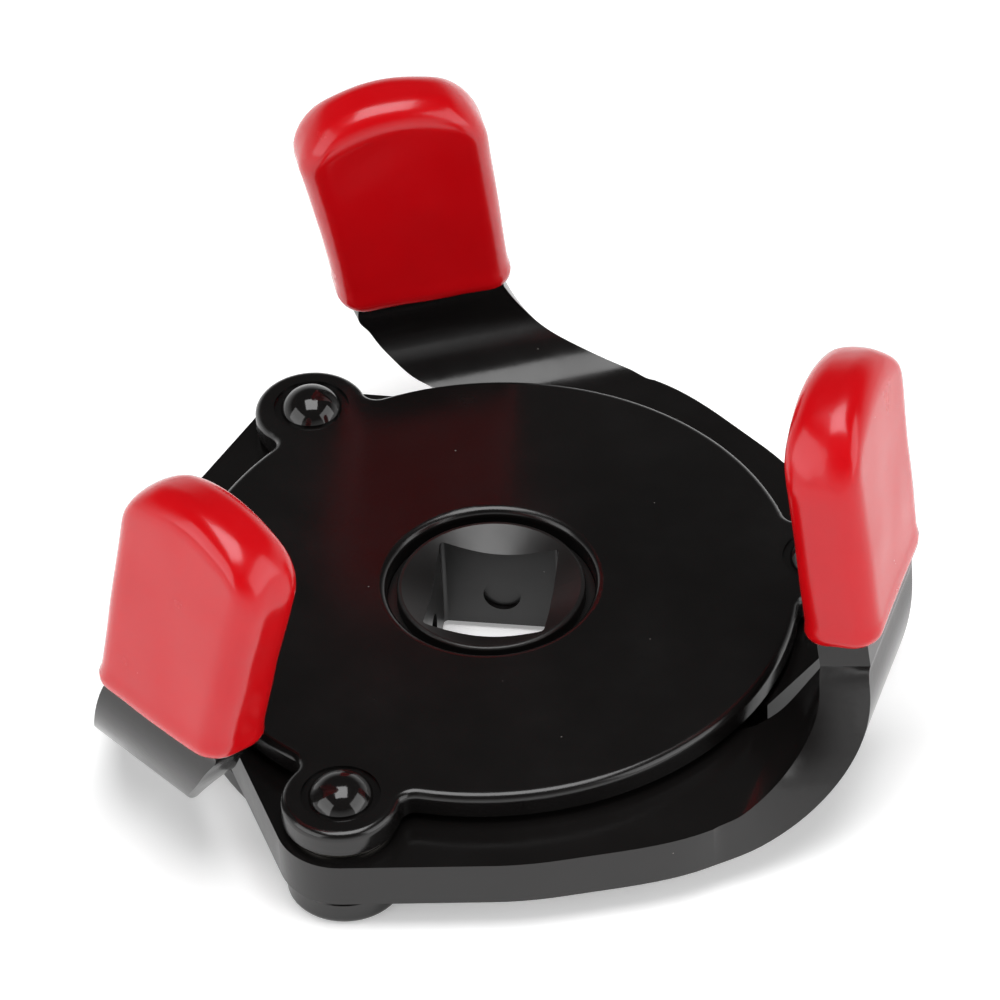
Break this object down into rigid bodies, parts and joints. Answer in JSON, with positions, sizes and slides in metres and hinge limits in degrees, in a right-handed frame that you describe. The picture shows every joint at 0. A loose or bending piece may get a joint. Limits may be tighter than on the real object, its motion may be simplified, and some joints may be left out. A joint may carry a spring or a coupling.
{
  "type": "oil filter wrench",
  "caption": "Flat jaw oil filter wrench: a square-drive gear between two round plates turns toothed arms whose bent-up, rubber-dipped jaws close on a filter.",
  "frame": {"origin": "centre of the drive square's mouth on the back face of the bottom plate", "axes": "+Z along the drive axis, from the back face towards the jaws; +X towards arm 1's pivot"},
  "size_m": [0.0864, 0.0843, 0.0487],
  "materials": {
    "black_paint": "glossy black enamel",
    "black_gear": "satin black",
    "black_arm": "glossy black enamel, slightly uneven",
    "black_rivet": "glossy black enamel over a domed head",
    "oiled_steel": "turned, lightly oiled",
    "red_grip": "glossy dipped soft PVC"
  },
  "bodies": {
    "frame": {"top_plate": "black_paint", "bottom_plate": "black_paint", "rivet_1": "black_rivet", "rivet_2": "black_rivet", "rivet_3": "black_rivet", "pivot_sleeve_1": "oiled_steel", "pivot_sleeve_2": "oiled_steel", "pivot_sleeve_3": "oiled_steel", "lower_washer_1": "oiled_steel", "lower_washer_2": "oiled_steel", "lower_washer_3": "oiled_steel", "upper_washer_1": "oiled_steel", "upper_washer_2": "oiled_steel", "upper_washer_3": "oiled_steel"},
    "drive_gear": {"drive_gear": "black_gear"},
    "arm_1": {"arm_1": "black_arm", "grip_1": "red_grip"},
    "arm_2": {"arm_2": "black_arm", "grip_2": "red_grip"},
    "arm_3": {"arm_3": "black_arm", "grip_3": "red_grip"}
  },
  "joints": [
    {"name": "gear_spin", "type": "hinge", "parent": "frame", "child": "drive_gear", "pos_m": [0, 0, 0], "axis": [0, 0, 1], "range_deg": [-0.6, 29.2]},
    {"name": "arm_1_pivot", "type": "hinge", "parent": "frame", "child": "arm_1", "pos_m": [0.035, 0, 0], "axis": [0, 0, 1], "range_deg": [-22, 0.5]},
    {"name": "arm_2_pivot", "type": "hinge", "parent": "frame", "child": "arm_2", "pos_m": [-0.0175, 0.03031, 0], "axis": [0, 0, 1], "range_deg": [-22, 0.5]},
    {"name": "arm_3_pivot", "type": "hinge", "parent": "frame", "child": "arm_3", "pos_m": [-0.0175, -0.03031, 0], "axis": [0, 0, 1], "range_deg": [-22, 0.5]}
  ],
  "couplings": [
    {"joint": "arm_1_pivot", "follows": "gear_spin", "ratio": -0.75},
    {"joint": "arm_2_pivot", "follows": "gear_spin", "ratio": -0.75},
    {"joint": "arm_3_pivot", "follows": "gear_spin", "ratio": -0.75}
  ]
}
